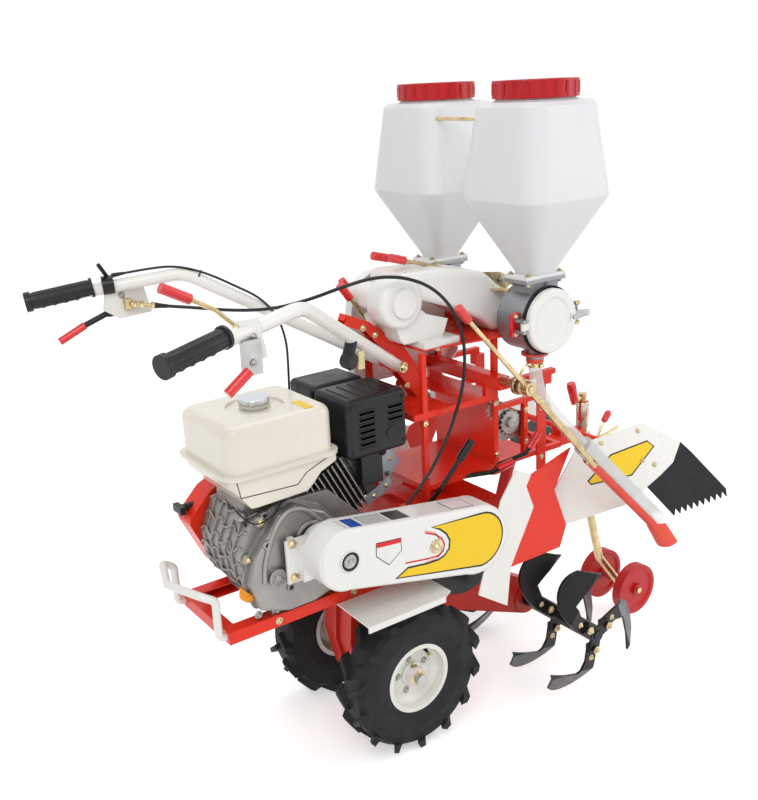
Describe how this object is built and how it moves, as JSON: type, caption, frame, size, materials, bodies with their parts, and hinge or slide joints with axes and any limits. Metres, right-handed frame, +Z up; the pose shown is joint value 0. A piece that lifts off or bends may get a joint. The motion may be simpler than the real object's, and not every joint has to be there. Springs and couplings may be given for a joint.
{
  "type": "power tiller",
  "caption": "Walk-behind power tiller: petrol engine, two lugged drive wheels, rear tine rotor, hilling wings, depth wheels and two seed hoppers with drop tubes.",
  "frame": {"origin": "on the floor, below the middle of the bounding box, standing as it parks on the two wheels and the tines", "axes": "+X forward from the handles to the tines, +Y to the operator's left, +Z up"},
  "size_m": [1.529, 0.6918, 1.418],
  "materials": {
    "tyre": "moulded rubber",
    "rim_white": "gloss paint",
    "steel": "turned",
    "casting_red": "painted casting",
    "red_paint": "gloss paint",
    "black_paint": "satin paint",
    "engine_alloy": "die cast",
    "tank_ivory": "gloss paint",
    "chrome_cap": "polished",
    "black_plastic": "satin",
    "orange_plastic": "moulded",
    "white_plastic": "moulded",
    "white_paint": "gloss paint",
    "grip_rubber": "moulded",
    "skirt_rubber": "sheet",
    "drum_alloy": "sand cast",
    "hopper_white": "blow moulded",
    "lid_red": "moulded",
    "zinc_gold": "yellow zinc plate",
    "wheel_red": "moulded",
    "knob_red": "moulded",
    "spout_red": "moulded",
    "clear_tube": "clear",
    "cable_black": "sheath",
    "bracket_steel": "zinc plate"
  },
  "bodies": {
    "chassis": {"air_cleaner": "black_plastic", "air_duct": "white_plastic", "belt_cover": "white_plastic", "belt_cover_mount": "white_plastic", "belt_guard": "white_plastic", "black_levers": "black_paint", "blower_housing": "white_plastic", "box_frame": "red_paint", "deck": "red_paint", "driven_pulley": "black_paint", "engine_crankcase": "engine_alloy", "engine_cylinder": "black_paint", "fan_shroud": "red_paint", "fenders": "white_paint", "front_bumper": "white_paint", "fuel_tank": "tank_ivory", "gear_cable": "cable_black", "gearbox_case": "casting_red", "handle_bracket": "red_paint", "handle_grips": "grip_rubber", "handlebars": "white_paint", "left_hopper": "hopper_white", "left_seed_hose": "clear_tube", "lever_knobs": "knob_red", "lever_rods": "zinc_gold", "main_frame": "red_paint", "metering_drums": "drum_alloy", "muffler": "black_paint", "oil_cap": "orange_plastic", "rear_beam": "red_paint", "red_shields": "red_paint", "right_control_bracket": "bracket_steel", "right_hopper": "hopper_white", "right_seed_hose": "clear_tube", "rotor_arm": "casting_red", "rotor_hood": "red_paint", "seed_spouts": "spout_red", "seed_tubes": "clear_tube", "skirts": "skirt_rubber", "starter_grip": "black_plastic", "tank_cap": "chrome_cap", "throttle_cable": "cable_black", "tube_arms": "zinc_gold", "tube_knobs": "knob_red", "wheel_axle": "steel", "white_shields": "white_paint", "wings": "white_paint"},
    "right_wheel": {"right_wheel_rim": "rim_white", "right_tyre": "tyre"},
    "left_wheel": {"left_wheel_rim": "rim_white", "left_tyre": "tyre"},
    "rotor": {"rotor_shaft": "black_paint", "rotor_blades": "black_paint"},
    "gauge_post": {"gauge_leg": "zinc_gold"},
    "right_gauge": {"right_gauge_wheel": "wheel_red"},
    "left_gauge": {"left_gauge_wheel": "wheel_red"},
    "right_lid": {"right_hopper_lid": "lid_red"},
    "left_lid": {"left_hopper_lid": "lid_red"},
    "right_cover": {"right_metering_cover": "white_plastic"},
    "left_cover": {"left_metering_cover": "white_plastic"}
  },
  "joints": [
    {"name": "right_wheel_turn", "type": "hinge", "parent": "chassis", "child": "right_wheel", "pos_m": [-0.14153, -0.145, 0.17153], "axis": [0, 1, 0], "continuous": true},
    {"name": "left_wheel_turn", "type": "hinge", "parent": "chassis", "child": "left_wheel", "pos_m": [-0.14153, 0.145, 0.17153], "axis": [0, 1, 0], "continuous": true},
    {"name": "rotor_turn", "type": "hinge", "parent": "chassis", "child": "rotor", "pos_m": [0.32474, 0, 0.16554], "axis": [0, 1, 0], "continuous": true},
    {"name": "gauge_height", "type": "slide", "parent": "chassis", "child": "gauge_post", "axis": [-0.0622, 0, 0.9981], "range_m": [0, 0.08]},
    {"name": "right_gauge_turn", "type": "hinge", "parent": "gauge_post", "child": "right_gauge", "pos_m": [0.69451, -0.06, 0.10043], "axis": [0, 1, 0], "continuous": true},
    {"name": "left_gauge_turn", "type": "hinge", "parent": "gauge_post", "child": "left_gauge", "pos_m": [0.69451, 0.06, 0.10043], "axis": [0, 1, 0], "continuous": true},
    {"name": "right_lid_turn", "type": "hinge", "parent": "chassis", "child": "right_lid", "pos_m": [0.14395, -0.159, 1.37764], "axis": [-0.0622, 0, 0.9981], "continuous": true},
    {"name": "left_lid_turn", "type": "hinge", "parent": "chassis", "child": "left_lid", "pos_m": [0.14395, 0.159, 1.37764], "axis": [-0.0622, 0, 0.9981], "continuous": true},
    {"name": "right_cover_swing", "type": "hinge", "parent": "chassis", "child": "right_cover", "pos_m": [0.09224, -0.208, 0.92153], "axis": [0.0622, 0, -0.9981], "range_deg": [0, 100]},
    {"name": "left_cover_swing", "type": "hinge", "parent": "chassis", "child": "left_cover", "pos_m": [0.09224, 0.208, 0.92153], "axis": [-0.0622, 0, 0.9981], "range_deg": [0, 100]}
  ]
}
